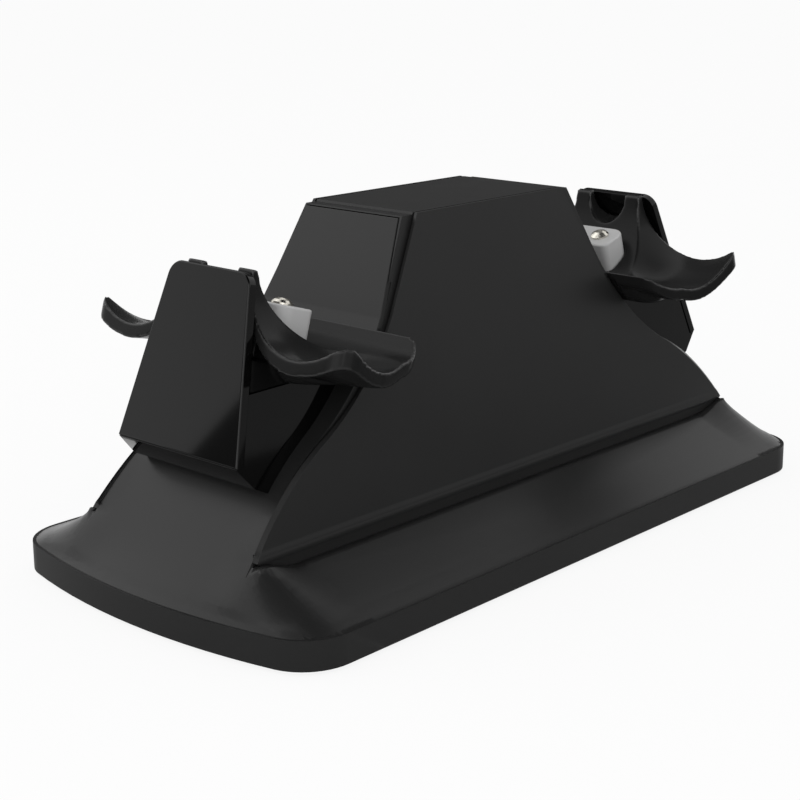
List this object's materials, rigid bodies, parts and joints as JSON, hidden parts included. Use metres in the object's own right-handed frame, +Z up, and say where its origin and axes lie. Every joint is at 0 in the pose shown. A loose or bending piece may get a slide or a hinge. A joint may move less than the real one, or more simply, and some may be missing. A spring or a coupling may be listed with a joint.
{
  "type": "controller charging dock",
  "caption": "Free-standing dock with a low sloped base, a central tower and a leaning seat at each end, with contacts that charge game controllers.",
  "frame": {"origin": "middle of the footprint, on the surface that the feet stand on", "axes": "+X along the dock from the left seat to the right seat, +Y from front to back, +Z up"},
  "size_m": [0.219, 0.108, 0.0907],
  "materials": {
    "housing_black": "fine-grained moulded plastic",
    "plate_black": "smooth satin moulded plastic",
    "panel_black": "satin moulded plastic",
    "gloss_black": "polished moulded plastic",
    "seat_black": "satin moulded plastic",
    "block_grey": "smooth moulded plastic",
    "contact_metal": "plated domes",
    "board_green": "printed circuit board",
    "floor_black": "grained moulded plastic",
    "foot_rubber": "soft rubber",
    "screw_steel": "blackened steel",
    "inlet_steel": "plated steel sheet"
  },
  "bodies": {
    "root": {"housing": "housing_black", "front_plate": "plate_black", "back_plate": "plate_black", "end_panel_left": "panel_black", "end_panel_right": "panel_black", "cradle_body_left": "gloss_black", "cradle_body_right": "gloss_black", "cradle_cover_left": "gloss_black", "cradle_cover_right": "gloss_black", "cradle_tray_left": "seat_black", "cradle_tray_right": "seat_black", "plug_block_left": "block_grey", "plug_block_right": "block_grey", "contacts_left": "contact_metal", "contacts_right": "contact_metal", "contact_board_left": "board_green", "contact_board_right": "board_green", "bottom_plate": "floor_black", "foot_front_left": "foot_rubber", "foot_front_right": "foot_rubber", "foot_back_left": "foot_rubber", "foot_back_right": "foot_rubber", "bottom_screws": "screw_steel", "main_board": "board_green", "power_socket": "inlet_steel"}
  },
  "joints": []
}
